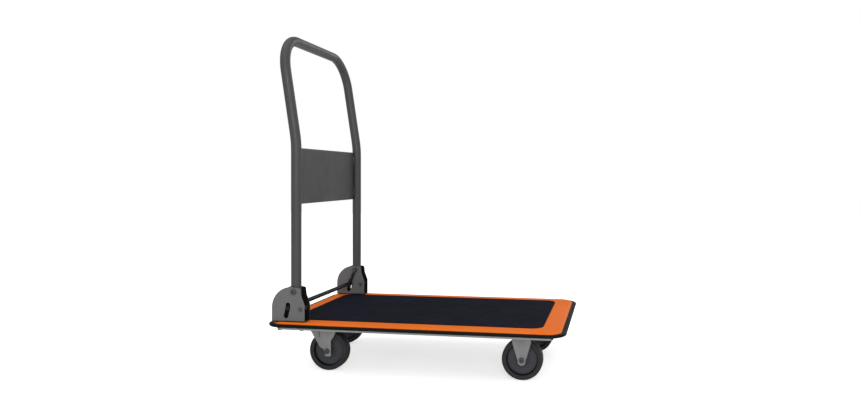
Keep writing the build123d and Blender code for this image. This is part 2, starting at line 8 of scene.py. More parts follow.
import bmesh
import bpy
import numpy as np
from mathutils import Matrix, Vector


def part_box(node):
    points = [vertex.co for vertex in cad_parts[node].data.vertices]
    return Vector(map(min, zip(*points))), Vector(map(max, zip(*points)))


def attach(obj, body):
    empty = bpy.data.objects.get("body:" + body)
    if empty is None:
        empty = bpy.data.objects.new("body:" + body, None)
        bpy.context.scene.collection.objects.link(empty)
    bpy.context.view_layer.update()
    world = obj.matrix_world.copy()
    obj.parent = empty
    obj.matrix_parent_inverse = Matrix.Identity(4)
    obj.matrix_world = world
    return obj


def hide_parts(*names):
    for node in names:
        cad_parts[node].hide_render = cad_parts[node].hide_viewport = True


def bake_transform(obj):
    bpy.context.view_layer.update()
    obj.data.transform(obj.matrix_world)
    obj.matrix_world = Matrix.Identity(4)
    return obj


bl_info = {
    "name": "Folding Platform Cart",
    "version": (1, 0, 0),
    "blender": (4, 5, 0),
    "location": "View3D > Sidebar > Cart",
    "description": "Builds the visible pieces and finishes of a folding platform cart round its packed model",
    "category": "Object",
}

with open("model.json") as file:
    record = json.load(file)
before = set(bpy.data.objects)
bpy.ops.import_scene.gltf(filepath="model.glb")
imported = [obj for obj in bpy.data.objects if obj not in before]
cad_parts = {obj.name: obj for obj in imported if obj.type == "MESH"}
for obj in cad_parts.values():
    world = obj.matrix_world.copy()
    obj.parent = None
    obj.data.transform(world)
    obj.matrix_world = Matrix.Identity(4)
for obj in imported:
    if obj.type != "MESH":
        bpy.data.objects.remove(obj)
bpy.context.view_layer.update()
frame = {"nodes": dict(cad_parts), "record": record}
MM = 0.001
SIDES = (("left", 1), ("right", -1))

# Where the finishes and the painted shade change on the imported sheet parts.
DECK_RIM = 16.5 * MM          # the deck's sloping rim, in from its edge
DECK_SKIN = 0.8 * MM          # below this depth the deck's sheet shows its underside
CHEEK_SKIN = 0.9 * MM         # in from a bracket's outer face, past which its inside begins
CREASE_SET_BACK = 21.0 * MM   # a swivel fork's crease, from its axle
CREASE_RISE = 34.0 * MM       # where the crease starts, above the axle
CREASE_WIDTH = (0.4 * MM, 1.3 * MM)
RIM_RECESS = 2.0 * MM         # a wheel core's rim, in from the tyre's side
RECESS_WALL = 2.8 * MM        # the wall of the core's recess, in from its edge


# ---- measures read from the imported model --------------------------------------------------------
def centre(node):
    """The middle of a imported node's box."""
    low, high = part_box(node)
    return (np.array(low) + np.array(high)) / 2


def corners(node):
    """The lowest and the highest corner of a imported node's box."""
    low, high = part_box(node)
    return np.array(low), np.array(high)


# ---- mesh building ------------------------------------------------------------------------------
def mesh_object(name, points, faces, sharp=35.0):
    """A smooth-shaded mesh at the origin; edges that turn more than `sharp` degrees stay crisp."""
    mesh = bpy.data.meshes.new(name)
    mesh.from_pydata(points.reshape(-1, 3).tolist(), [], faces.tolist())
    mesh.validate()
    mesh.shade_smooth()
    mesh.set_sharp_from_angle(angle=math.radians(sharp))
    made = bpy.data.objects.new(name, mesh)
    bpy.context.scene.collection.objects.link(made)
    return made


def grid_faces(rows, columns, close_rows=False, close_columns=False, first=0):
    """Quads over a grid of rows x columns points; a closed direction joins its last line to its first."""
    r = np.arange(rows if close_rows else rows - 1)
    c = np.arange(columns if close_columns else columns - 1)
    r, c = np.meshgrid(r, c, indexing="ij")
    r2, c2 = (r + 1) % rows, (c + 1) % columns
    quads = np.stack([r * columns + c, r * columns + c2, r2 * columns + c2, r2 * columns + c], axis=-1)
    return quads.reshape(-1, 4) + first


def turned(name, profile, middle, steps=96, sharp=35.0):
    """A body of revolution about a line along Y: the closed profile's (radius, height) pairs are carried round
    the circle, x = r cos a, z = r sin a, y = height."""
    angle = np.linspace(0, 2 * math.pi, steps, endpoint=False)[:, None]
    radius, height = np.array(profile, float).T[:, None, :]
    points = np.stack([radius * np.cos(angle), height + 0 * angle, radius * np.sin(angle)], axis=-1)
    faces = grid_faces(steps, len(profile), True, True)[:, ::-1]
    return mesh_object(name, points + np.array(middle), faces, sharp)


def rounded(corner_points, radii, steps=5):
    """A closed outline whose corners are round: each corner becomes an arc tangent to both its sides."""
    made = []
    count = len(corner_points)
    for i, radius in enumerate(radii):
        here = np.array(corner_points[i], float)
        back = np.array(corner_points[i - 1], float) - here
        ahead = np.array(corner_points[(i + 1) % count], float) - here
        back, ahead = back / np.linalg.norm(back), ahead / np.linalg.norm(ahead)
        half = math.acos(max(-1.0, min(1.0, back @ ahead))) / 2
        if radius <= 0 or half > math.pi / 2 - 0.01:
            made.append(here)
            continue
        reach = radius / math.tan(half)
        middle = here + (back + ahead) / np.linalg.norm(back + ahead) * radius / math.sin(half)
        start, end = here + back * reach - middle, here + ahead * reach - middle
        t = np.linspace(0, 1, steps)[:, None]
        way = start * (1 - t) + end * t
        made.extend(middle + way / np.linalg.norm(way, axis=1)[:, None] * radius)
    return made


def softened_copy(node, name, width, segments=2, sharp=28.0, weld=0.005 * MM, flat=0.4):
    """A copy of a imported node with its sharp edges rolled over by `width`, as sheet that is punched and painted
    has no knife edges. Points nearer than `weld` are joined first, and so are faces within `flat` degrees."""
    source = frame["nodes"][node]
    made = bpy.data.objects.new(name, source.data.copy())
    bpy.context.scene.collection.objects.link(made)
    shape = bmesh.new()
    shape.from_mesh(made.data)
    bmesh.ops.remove_doubles(shape, verts=shape.verts, dist=weld)
    bmesh.ops.dissolve_limit(
        shape, angle_limit=math.radians(flat), verts=shape.verts, edges=shape.edges, delimit={"NORMAL"})
    shape.to_mesh(made.data)
    shape.free()
    made.data.shade_smooth()
    made.data.set_sharp_from_angle(angle=math.radians(sharp))
    roll = made.modifiers.new("rolled_edges", "BEVEL")
    roll.width, roll.segments, roll.limit_method = width, segments, "ANGLE"
    roll.angle_limit = math.radians(sharp)
    roll.harden_normals = True
    roll.use_clamp_overlap = True
    return made


# ---- material building --------------------------------------------------------------------------
class Nodes:
    """A short way to write a material's node tree."""

    def __init__(self, name):
        self.material = bpy.data.materials.new(name)
        self.material.use_nodes = True
        self.tree = self.material.node_tree
        self.shader = self.tree.nodes["Principled BSDF"]
        self.coordinates = self.tree.nodes.new("ShaderNodeTexCoord")
        self.place = self.coordinates.outputs["Object"]

    def add(self, kind, **settings):
        node = self.tree.nodes.new(kind)
        for key, value in settings.items():
            setattr(node, key, value)
        return node

    def link(self, source, target):
        self.tree.links.new(source, target)

    def noise(self, scale, detail=4.0, rough=0.55, stretch=None):
        """Cloudy noise, `scale` cells to the metre."""
        node = self.add("ShaderNodeTexNoise")
        node.inputs["Scale"].default_value = scale
        node.inputs["Detail"].default_value = detail
        node.inputs["Roughness"].default_value = rough
        if stretch is None:
            self.link(self.place, node.inputs["Vector"])
        else:
            mapping = self.add("ShaderNodeMapping")
            mapping.inputs["Scale"].default_value = stretch
            self.link(self.place, mapping.inputs["Vector"])
            self.link(mapping.outputs["Vector"], node.inputs["Vector"])
        return node.outputs["Fac"]

    def ramp(self, value, low, high, dark=0.0, light=1.0):
        """Maps low..high of a value to dark..light, and holds it there."""
        node = self.add("ShaderNodeMapRange")
        for key, number in (("From Min", low), ("From Max", high), ("To Min", dark), ("To Max", light)):
            node.inputs[key].default_value = number
        self.link(value, node.inputs["Value"])
        return node.outputs["Result"]

    def mix(self, share, one, two):
        """A colour between two others."""
        node = self.add("ShaderNodeMix", data_type="RGBA")
        self.link(share, node.inputs["Factor"])
        for socket, colour in ((node.inputs[6], one), (node.inputs[7], two)):
            if isinstance(colour, bpy.types.NodeSocket):
                self.link(colour, socket)
            else:
                socket.default_value = (*colour, 1.0)
        return node.outputs[2]

    def axes(self):
        """The object's X, Y and Z at each point."""
        parts = self.add("ShaderNodeSeparateXYZ")
        self.link(self.place, parts.inputs[0])
        return [parts.outputs[axis] for axis in "XYZ"]

    def painted_corner_shade(self, skin, colour, depth, reach=0.0045):
        """Darkens a colour by the ambient occlusion where surfaces nearly meet: painted shade in the corners."""
        node = self.add("ShaderNodeAmbientOcclusion", samples=6)
        node.inputs["Distance"].default_value = reach
        return self.mix(self.ramp(node.outputs["AO"], 0.3, 0.85), shade(colour, depth), skin)

    def maths(self, operation, one, two=0.0):
        """A sum, product or comparison of two values, each a socket or a number."""
        node = self.add("ShaderNodeMath", operation=operation)
        for socket, value in zip(node.inputs, (one, two)):
            if isinstance(value, bpy.types.NodeSocket):
                self.link(value, socket)
            else:
                socket.default_value = value
        return node.outputs[0]

    def bump(self, height, strength, distance):
        """A normal tilted by a height value."""
        node = self.add("ShaderNodeBump")
        node.inputs["Strength"].default_value = strength
        node.inputs["Distance"].default_value = distance
        self.link(height, node.inputs["Height"])
        return node.outputs["Normal"]

    def set(self, socket, value):
        """Gives one of the shader's sockets a value, or links it."""
        target = self.shader.inputs[socket]
        if isinstance(value, bpy.types.NodeSocket):
            self.link(value, target)
        else:
            target.default_value = value


def shade(colour, factor):
    """A colour made lighter or darker."""
    return tuple(min(1.0, c * factor) for c in colour)


def powder_coat(name, colour, roughness, grain=650.0, grain_height=0.00006, dust=0.10, specular=0.3, cover=None):
    """Powder-coated steel: a fine orange-peel skin, slow drifts of tone, a little rubbed dust, and painted shade in
    the corners.
    `cover` is a second colour and a function that says where it goes: a primer under the deck, or a near-black
    painted shade inside the brackets."""
    n = Nodes(name)
    drift = n.noise(5.0, 3.0)
    cloud = n.ramp(drift, 0.35, 0.65)
    body = n.mix(cloud, shade(colour, 0.96), shade(colour, 1.04))
    rub = n.ramp(n.noise(42.0, 6.0, 0.7), 0.62, 0.78, 0.0, dust)
    skin = n.mix(rub, body, shade(colour, 1.35))
    if cover is not None:
        skin = n.mix(cover[1](n), skin, cover[0])
    # painted shade: the colour darkens where surfaces nearly meet
    n.set("Base Color", n.painted_corner_shade(skin, colour, 0.3))
    n.set("Roughness", n.ramp(n.noise(28.0, 5.0), 0.3, 0.7, roughness - 0.06, roughness + 0.08))
    n.set("Specular IOR Level", specular)
    n.set("Normal", n.bump(n.noise(grain, 2.0), 0.35, grain_height))
    return n.material


def below_deck(n):
    """1 under the deck's sheet and inside its sloping rim, 0 elsewhere."""
    low, high = corners("deck_pan")
    x, y, z = n.axes()
    inside = [
        n.maths("LESS_THAN", n.maths("ABSOLUTE", x), (high[0] - low[0]) / 2 - DECK_RIM),
        n.maths("LESS_THAN", n.maths("ABSOLUTE", y), (high[1] - low[1]) / 2 - DECK_RIM),
        n.maths("LESS_THAN", z, high[2] - DECK_SKIN)]
    return n.maths("MULTIPLY", n.maths("MULTIPLY", inside[0], inside[1]), inside[2])


def bracket_inside_shade_mask(n):
    """1 on the faces inside the folded channel, 0 on its outside: how far a point is from the channel's middle,
    against the channel's half width less most of its sheet. Where it is 1, the brackets get a near-black painted
    shade."""
    low, high = corners("hinge_bracket_left")
    within = (high[1] - low[1]) / 2 - CHEEK_SKIN
    y = n.axes()[1]
    off_middle = n.maths("ABSOLUTE", n.maths("SUBTRACT", n.maths("ABSOLUTE", y), (low[1] + high[1]) / 2))
    return n.maths("LESS_THAN", off_middle, within)


def fork_crease_shade_mask(n):
    """1 along the pressed crease of each swivel fork's cheeks, which lies a set way from the axle on the king
    pin's side, 0 elsewhere: how near a point's x is to that line, on its own side of the cart. Where it is 1, the
    plating gets a near-black painted shade line in place of the crease's own shade."""
    x, y, z = n.axes()
    marks = []
    for word, side in SIDES:
        axle, pin = centre(f"rear_axle_bolt_{word}")[0], centre(f"swivel_plate_{word}")[0]
        line = axle + math.copysign(CREASE_SET_BACK, pin - axle)
        off = n.maths("ABSOLUTE", n.maths("SUBTRACT", x, line))
        here = n.maths("GREATER_THAN", n.maths("MULTIPLY", y, float(side)), 0.0)
        marks.append(n.maths("MULTIPLY", n.ramp(off, *CREASE_WIDTH, 1.0, 0.0), here))
    high = n.maths("GREATER_THAN", z, centre("rear_axle_bolt_left")[2] + CREASE_RISE)
    return n.maths("MULTIPLY", n.maths("ADD", marks[0], marks[1]), high)


def plated_sheet(name, colour, roughness):
    """Dull zinc plate on pressed steel: faint crystals, drawn streaks and a soft metal gloss, with painted shade in
    the corners and a near-black painted shade line along each swivel fork's crease.
    """
    n = Nodes(name)
    crystal = n.add("ShaderNodeTexVoronoi")
    crystal.inputs["Scale"].default_value = 130.0
    n.link(n.place, crystal.inputs["Vector"])
    streak = n.noise(60.0, 4.0, 0.6, (1.0, 1.0, 0.12))
    tone = n.mix(n.ramp(streak, 0.3, 0.7), shade(colour, 0.88), shade(colour, 1.1))
    skin = n.mix(n.ramp(crystal.outputs["Distance"], 0.0, 0.9, 0.0, 0.25), tone, shade(colour, 0.8))
    # a near-black painted shade line along each swivel fork's crease
    skin = n.mix(fork_crease_shade_mask(n), skin, shade(colour, 0.12))
    # painted shade in the corners
    n.set("Base Color", n.painted_corner_shade(skin, colour, 0.3))
    n.set("Metallic", 0.55)
    n.set("Roughness", n.ramp(n.noise(90.0, 4.0), 0.3, 0.7, roughness - 0.07, roughness + 0.09))
    n.set("Normal", n.bump(n.noise(420.0, 3.0), 0.2, 0.00004))
    return n.material


def moulded(name, colour, roughness, grain=900.0, grain_height=0.00005, scuff=0.12, specular=0.3, corner=0.0):
    """Rubber or moulded plastic: fine grain, paler scuffs, an uneven dull gloss, and, when `corner` is given, painted
    shade within
    `corner` of an inside corner and a near-black painted shade on the points marked as the recess wall."""
    n = Nodes(name)
    tone = n.mix(n.ramp(n.noise(9.0, 3.0), 0.35, 0.65), shade(colour, 0.9), shade(colour, 1.12))
    marks = n.ramp(n.noise(75.0, 7.0, 0.75), 0.6, 0.8, 0.0, scuff)
    skin = n.mix(marks, tone, shade(colour, 2.2))
    if corner:
        # painted shade in the corners, and a near-black painted shade on the recess wall
        recess = n.add("ShaderNodeAttribute", attribute_name="recess").outputs["Fac"]
        skin = n.mix(recess, n.painted_corner_shade(skin, colour, 0.12, corner), shade(colour, 0.06))
    n.set("Base Color", skin)
    n.set("Roughness", n.ramp(n.noise(35.0, 5.0), 0.3, 0.7, roughness - 0.07, roughness + 0.08))
    n.set("Specular IOR Level", specular)
    n.set("Normal", n.bump(n.noise(grain, 2.0), 0.3, grain_height))
    return n.material


def machined(name, colour, roughness):
    """A turned or drawn metal part: bright, with fine rings of tool marks and a little painted shade in its corners.
    """
    n = Nodes(name)
    marks = n.noise(700.0, 2.0, 0.5, (1.0, 0.1, 1.0))
    tone = n.mix(n.ramp(marks, 0.3, 0.7), shade(colour, 0.85), shade(colour, 1.08))
    # a little painted shade in the corners
    n.set("Base Color", n.painted_corner_shade(tone, colour, 0.08, 0.003))
    n.set("Metallic", 0.75)
    n.set("Roughness", n.ramp(n.noise(120.0, 4.0), 0.3, 0.7, roughness - 0.06, roughness + 0.1))
    n.set("Normal", n.bump(marks, 0.2, 0.00002))
    return n.material


# ---- sizes and colours that a user would change -------------------------------------------------
def colour_property(name, description, value):
    """A colour setting, in linear values."""
    return bpy.props.FloatVectorProperty(
        name=name, description=description, default=value, subtype="COLOR", size=3, min=0.0, max=1.0)


class CartFinish(bpy.types.PropertyGroup):
    deck: colour_property("Deck", "Powder coat of the deck sheet", (0.78, 0.150, 0.0060))
    mat: colour_property("Mat", "Vinyl mat on the deck", (0.0075, 0.0078, 0.0150))
    bumper: colour_property("Bumper", "Rubber edge round the deck", (0.0035, 0.0042, 0.0035))
    underframe: colour_property("Underframe", "Rails and cross members", (0.36, 0.37, 0.36))
    bracket: colour_property("Bracket", "Hinge brackets", (0.130, 0.130, 0.130))
    handle: colour_property("Handle", "Handle tube", (0.056, 0.056, 0.056))
    panel: colour_property("Panel", "Sheet panel in the handle", (0.054, 0.054, 0.054))
    lock_bar: colour_property("Lock bar", "Bar that locks the handle", (0.0070, 0.0078, 0.0085))
    plating: colour_property("Plating", "Zinc plate of the casters", (0.275, 0.275, 0.275))
    bolts: colour_property("Bolts", "Zinc plate of bolts and nuts", (0.105, 0.105, 0.108))
    tyre: colour_property("Tyre", "Solid rubber tyres", (0.026, 0.026, 0.028))
    core: colour_property("Wheel core", "Moulded wheel centres", (0.048, 0.050, 0.057))
    spring: colour_property("Spring", "Return spring wire", (0.05, 0.05, 0.052))
    nylon: colour_property("Nylon", "Bushes", (0.45, 0.45, 0.43))
    balls: colour_property("Balls", "Bearing balls", (0.6, 0.6, 0.62))


def length_property(name, description, value):
    """A length setting, in metres."""
    return bpy.props.FloatProperty(
        name=name, description=description, default=value, min=0.0, precision=5, unit="LENGTH", subtype="DISTANCE")


class CartDetail(bpy.types.PropertyGroup):
    rib_pitch: length_property("Rib pitch", "Distance between the mat's ribs", 0.0044)
    rib_height: length_property("Rib height", "How far the mat's ribs stand up", 0.0003)
    mat_corner: length_property("Mat corner", "Radius of the mat's corners", 0.030)
    tyre_band: length_property("Tyre band", "Thickness of the tyre from tread to core", 0.009)
    tyre_crown: length_property("Tyre crown", "How far the tread is crowned", 0.0006)
    core_disc: length_property("Disc depth", "How deep the core's disc is sunk", 0.010)
    weld_radius: length_property("Weld radius", "Half the width of a weld bead", 0.0018)
    weld_length: length_property("Weld length", "Length of a weld bead", 0.026)
    spring_coils: bpy.props.IntProperty(
        name="Spring coils", description="Turns of each return spring", default=13, min=4, max=30)


class CartStage(bpy.types.PropertyGroup):
    camera_place: bpy.props.FloatVectorProperty(
        name="Camera", description="Where the camera stands", default=(0.4839, -1.8292, 0.4936), subtype="XYZ")
    camera_turn: bpy.props.FloatProperty(
        name="Turn", description="How far the camera turns to its left", default=0.179, subtype="ANGLE")
    lens: bpy.props.FloatProperty(
        name="Lens", description="Focal length", default=29.33, min=1.0, unit="CAMERA")
    shift: bpy.props.FloatVectorProperty(
        name="Shift", description="Lens shift, right and up", default=(-0.0694, -0.0340), size=2)
    floor_size: length_property("Floor", "Width of the floor", 14.0)
    floor_tone: bpy.props.FloatProperty(
        name="Floor tone", description="Brightness of the floor", default=0.92, min=0.0, max=1.0)
    floor_glow: bpy.props.FloatProperty(
        name="Floor glow", description="Brightness that the floor adds to its own shadows", default=0.62,
        min=0.0, max=2.0)
    overhead: bpy.props.FloatProperty(
        name="Overhead light", description="Strength of the even light from above", default=1.15, min=0.0, max=10.0)


GROUPS = (("cart_finish", CartFinish), ("cart_detail", CartDetail), ("cart_stage", CartStage))


# ---- paint --------------------------------------------------------------------------------------
PRIMER = (0.055, 0.055, 0.058)
# near-black painted shade for the inside of the brackets' channel
BRACKET_INSIDE_SHADE = (0.0045, 0.0045, 0.0048)


def finishes(colours):
    """Every material by the record's slot name."""
    return {
        "deck_paint": powder_coat(
            "deck_orange", colours.deck, 0.55, specular=0.10, cover=(PRIMER, below_deck)),
        "mat_vinyl": moulded("mat_vinyl", colours.mat, 0.8, 500.0, specular=0.05),
        "bumper_rubber": moulded("bumper_rubber", colours.bumper, 0.6, specular=0.10),
        "frame_paint": powder_coat("underframe_grey", colours.underframe, 0.5),
        # the brackets' inside is painted near-black as shade
        "bracket_paint": powder_coat(
            "bracket_grey", colours.bracket, 0.5, specular=0.25, cover=(BRACKET_INSIDE_SHADE, bracket_inside_shade_mask)),
        "handle_paint": powder_coat("handle_grey", colours.handle, 0.42),
        "panel_paint": powder_coat("panel_grey", colours.panel, 0.48),
        "lock_bar_paint": powder_coat("lock_bar_black", colours.lock_bar, 0.5, specular=0.2),
        "spring_steel": machined("spring_wire", colours.spring, 0.4),
        "bolt_zinc": machined("bolt_zinc", colours.bolts, 0.42),
        "caster_plating": plated_sheet("caster_zinc", colours.plating, 0.48),
        "ball_steel": machined("ball_steel", colours.balls, 0.15),
        "bush_nylon": moulded("bush_nylon", colours.nylon, 0.5),
        "tyre_rubber": moulded("tyre_rubber", colours.tyre, 0.62, 1100.0, 0.00006, 0.2),
        "wheel_core_plastic": moulded("core_plastic", colours.core, 0.5, corner=0.011),
    }


def dress(piece, slot_name):
    """Gives a piece the finish of a material slot."""
    piece.data.materials.clear()
    piece.data.materials.append(MADE[slot_name])


MADE = {}


class CART_OT_paint(bpy.types.Operator):
    """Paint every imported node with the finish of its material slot"""

    bl_idname = "cart.paint"
    bl_label = "Paint the packed model"

    def execute(self, context):
        MADE.update(finishes(context.scene.cart_finish))
        for part in frame["record"]["subparts"]:
            node = frame["nodes"][part["node"]]
            if not node.material_slots:
                node.data.materials.append(None)
            for place in node.material_slots:
                place.material = MADE[part["material_slot"]]
        return {"FINISHED"}


SHEET_PARTS = (
    ("hinge_bracket_left", "bracket_paint", 0.35), ("hinge_bracket_right", "bracket_paint", 0.35),
    ("swivel_fork_left", "caster_plating", 0.35), ("swivel_fork_right", "caster_plating", 0.35),
    ("handle_panel", "panel_paint", 0.3), ("side_rail_left", "frame_paint", 0.3),
    ("side_rail_right", "frame_paint", 0.3),
)


class CART_OT_sheet(bpy.types.Operator):
    """Roll over the cut edges of the pressed brackets, forks, rails and panel"""

    bl_idname = "cart.sheet"
    bl_label = "Pressed sheet edges"

    def execute(self, context):
        for node, slot_name, width in SHEET_PARTS:
            groups = frame["record"]["behaviour"]["bodies"]
            body = next(name for name, parts in groups.items() if node in parts)
            piece = softened_copy(node, f"pressed_{node}", width * MM)
            dress(piece, slot_name)
            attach(piece, body)
            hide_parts(node)
        return {"FINISHED"}


class CART_OT_mat(bpy.types.Operator):
    """Make the ribbed vinyl mat on the deck"""

    bl_idname = "cart.mat"
    bl_label = "Mat"

    def execute(self, context):
        detail = context.scene.cart_detail
        low, high = corners("deck_mat")
        mat = ribbed_mat(low, high, detail.mat_corner, detail.rib_pitch, detail.rib_height)
        dress(mat, "mat_vinyl")
        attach(mat, "chassis")
        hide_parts("deck_mat")
        return {"FINISHED"}


def ribbed_mat(low, high, corner, pitch, height):
    """A sheet with ribs along X. Across the width, top z = base + height (0.5 + 0.5 cos(2 pi y / pitch)); each
    line along X ends where the rounded corner does, half length minus corner (1 - sqrt(1 - t^2))."""
    half_x, half_y = (high[0] - low[0]) / 2, (high[1] - low[1]) / 2
    middle_x, middle_y = (high[0] + low[0]) / 2, (high[1] + low[1]) / 2
    count = int(2 * half_y / pitch) * 8
    y = np.linspace(-half_y, half_y, count + 1)
    into = np.clip((np.abs(y) - (half_y - corner)) / corner, 0, 1)
    reach = half_x - corner * (1 - np.sqrt(np.clip(1 - into ** 2, 0, 1)))
    share = np.concatenate([[-1, -1 + 1e-5], np.linspace(-0.995, 0.995, 17), [1 - 1e-5, 1]])
    edge = np.clip((half_y - np.abs(y)) / (1.2 * MM), 0, 1)
    top = high[2] - height + height * (0.5 + 0.5 * np.cos(2 * math.pi * y / pitch)) * edge
    x = middle_x + share[:, None] * reach[None, :]
    ends = (np.abs(share) >= 1)[:, None]
    z = np.where(ends | (edge[None, :] <= 0), low[2], top[None, :])
    points = np.stack([x, middle_y + y[None, :] + 0 * x, z], axis=-1)
    mat = mesh_object("ribbed_mat", points, grid_faces(len(share), len(y))[:, ::-1], 50.0)
    close_ends(mat)
    return mat


class CART_OT_wheels(bpy.types.Operator):
    """Make the tyres and the moulded wheel cores"""

    bl_idname = "cart.wheels"
    bl_label = "Wheels"

    def execute(self, context):
        detail = context.scene.cart_detail
        for end in ("rear", "front"):
            for word, _ in SIDES:
                make_tyre(end, word, detail)
                make_core(end, word, detail)
        return {"FINISHED"}


def make_tyre(end, word, detail):
    """A tyre whose profile goes round from its seat, up one side wall, over a crowned tread and back."""
    node = f"{end}_tyre_{word}"
    low, high = corners(node)
    outer, half = (high[0] - low[0]) / 2, (high[1] - low[1]) / 2
    inner = outer - detail.tyre_band
    lip, crown = 0.8 * MM, detail.tyre_crown
    sections = [
        (inner, half - 1.6 * MM), (inner + 0.9 * MM, half - lip), (outer - 5.2 * MM, half - lip),
        (outer - 4.6 * MM, half), (outer - crown, half), (outer, half * 0.35)]
    radii = [0.3 * MM, 0.5 * MM, 0.3 * MM, 0.4 * MM, 3.0 * MM, 40 * MM]
    outline = sections + [(r, -h) for r, h in reversed(sections)]
    tyre = turned(f"tyre_{end}_{word}", rounded(outline, radii + radii[::-1]), (low + high) / 2, 128, 30.0)
    dress(tyre, "tyre_rubber")
    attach(tyre, f"{end}_wheel_{word}")
    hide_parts(node)


def make_core(end, word, detail):
    """A wheel centre: rim, sunk disc with two raised rings, and a hub that tapers out to its face."""
    node = f"{end}_wheel_core_{word}"
    low, high = corners(node)
    outer, hub_half = (high[0] - low[0]) / 2, (high[1] - low[1]) / 2
    bush = corners(f"{end}_wheel_bush_{word}")
    bore = (bush[1][0] - bush[0][0]) / 2
    tyre_low, tyre_high = corners(f"{end}_tyre_{word}")
    half = (tyre_high[1] - tyre_low[1]) / 2
    disc, rim = half - detail.core_disc, half - RIM_RECESS
    ring = 0.7 * MM
    sections = [
        (bore, hub_half), (bore + 2.2 * MM, hub_half), (bore + 3.0 * MM, disc + 0.3 * MM),
        (bore + 8.5 * MM, disc), (bore + 9.0 * MM, disc + ring), (bore + 10.5 * MM, disc + ring),
        (bore + 11.0 * MM, disc), (outer - 6.5 * MM, disc), (outer - 6.0 * MM, disc + ring),
        (outer - 4.6 * MM, disc + ring), (outer - 4.2 * MM, disc), (outer - 3.2 * MM, disc),
        (outer - 2.4 * MM, rim), (outer, rim)]
    radii = [0.3, 0.5, 1.2, 0.2, 0.25, 0.25, 0.2, 0.2, 0.25, 0.25, 0.2, 0.6, 0.6, 0.0]
    radii = [r * MM for r in radii]
    outline = sections + [(r, -h) for r, h in reversed(sections)]
    core = turned(f"core_{end}_{word}", rounded(outline, radii + radii[::-1], 4), (low + high) / 2, 96, 30.0)
    # marks where the core's material paints a near-black shade on the recess wall
    mark_recess_shade(core, (low + high) / 2, outer - RECESS_WALL, 1.0 * MM)
    dress(core, "wheel_core_plastic")
    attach(core, f"{end}_wheel_{word}")
    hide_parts(node)


def mark_recess_shade(core, middle, wall, spread):
    """Stores on each point how near its radius is to the recess's wall: 1 at the wall, falling to 0 away from it. The
    core's material paints a near-black shade there.
    """
    place = np.empty(len(core.data.vertices) * 3)
    core.data.vertices.foreach_get("co", place)
    place = place.reshape(-1, 3) - middle
    near = np.clip(1.6 - np.abs(np.hypot(place[:, 0], place[:, 2]) - wall) / spread, 0, 1)
    core.data.attributes.new("recess", "FLOAT", "POINT").data.foreach_set("value", near)


class CART_OT_welds(bpy.types.Operator):
    """Lay the weld beads that join the panel to the handle's legs"""

    bl_idname = "cart.welds"
    bl_label = "Weld beads"

    def execute(self, context):
        detail = context.scene.cart_detail
        low, high = corners("handle_panel")
        middle = (low[2] + high[2]) / 2
        spread = (high[2] - low[2]) * 0.33
        for word, side in SIDES:
            y = side * (high[1] - 0.2 * MM)
            for row, z in (("upper", middle + spread), ("lower", middle - spread)):
                for face, x in (("front", high[0] + 0.2 * MM), ("back", high[0] - 1.9 * MM)):
                    half = np.array([0.0, 0.0, detail.weld_length / 2])
                    at = np.array([x, y, z])
                    bead = weld_bead(f"weld_{row}_{face}_{word}", at - half, at + half, detail.weld_radius)
                    dress(bead, "handle_paint")
                    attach(bead, "handle")
        return {"FINISHED"}


def weld_bead(name, start, end, radius):
    """A row of overlapping puddles: at each point t of a line, a circle of radius
    r sqrt(1 - (2t - 1)^8) (1 + 0.16 |sin(pi n t)|), so that it is closed and round at both ends."""
    sides, puddles = 12, max(3, int(np.linalg.norm(end - start) / (1.6 * radius)))
    t = np.linspace(0, 1, puddles * 8 + 1)[:, None]
    swell = radius * np.sqrt(np.clip(1 - (2 * t - 1) ** 8, 0, 1)) * (1 + 0.16 * np.abs(np.sin(math.pi * puddles * t)))
    angle = np.linspace(0, 2 * math.pi, sides, endpoint=False)[None, :]
    ring = np.stack([swell * np.cos(angle), swell * np.sin(angle), 0 * swell * angle], axis=-1)
    points = (start + (end - start) * t)[:, None] + ring
    made = mesh_object(name, points, grid_faces(len(t), sides, False, True), 80.0)
    close_ends(made)
    return made


class CART_OT_springs(bpy.types.Operator):
    """Wind the two return springs between the pivot bolts and the lock bar"""

    bl_idname = "cart.springs"
    bl_label = "Return springs"

    def execute(self, context):
        for word, side in SIDES:
            wind_spring(word, side, context.scene.cart_detail.spring_coils)
        return {"FINISHED"}


def wind_spring(word, side, coils):
    """A wire along a helix with a side loop at each end. The centre line is a loop round the pivot, a helix
    p = start + d t + r (cos 2 pi n t, sin 2 pi n t), and a loop round the lock bar; the wire is a tube on it."""
    low, high = corners(f"return_spring_{word}")
    bar, pivot = centre("lock_bar"), centre("pivot_nuts")
    wire = 0.75 * MM
    loop = high[0] - pivot[0] - wire
    coil_radius = (high[1] - low[1]) / 2 - wire
    middle_y = (low[1] + high[1]) / 2
    start = np.array([pivot[0], middle_y, pivot[2]])
    end = np.array([bar[0], middle_y, bar[2]])
    way = (end - start) / np.linalg.norm(end - start)
    across = np.cross(way, [0.0, 1.0, 0.0])
    out = np.array([0.0, side * 1.0, 0.0])
    lead = 9.0 * MM
    coil_start, coil_end = start + way * lead, end - way * lead
    t = np.linspace(0, 1, coils * 20 + 1)[:, None]
    turn = 2 * math.pi * coils * t
    helix = coil_start + (coil_end - coil_start) * t + coil_radius * (np.cos(turn) * out + np.sin(turn) * across)
    swing = np.linspace(-1.72 * math.pi, 0, 36)[:, None]
    plane = out * coil_radius
    first = start + plane + loop * (np.cos(swing) * way + np.sin(swing) * across)
    last = end + plane - loop * (np.cos(-swing[::-1]) * way + np.sin(-swing[::-1]) * across)
    line = np.concatenate([first, helix, last])
    spring = tube_along(f"spring_{word}", line, wire, 8)
    dress(spring, "spring_steel")
    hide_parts(f"return_spring_{word}")
    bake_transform(spring)


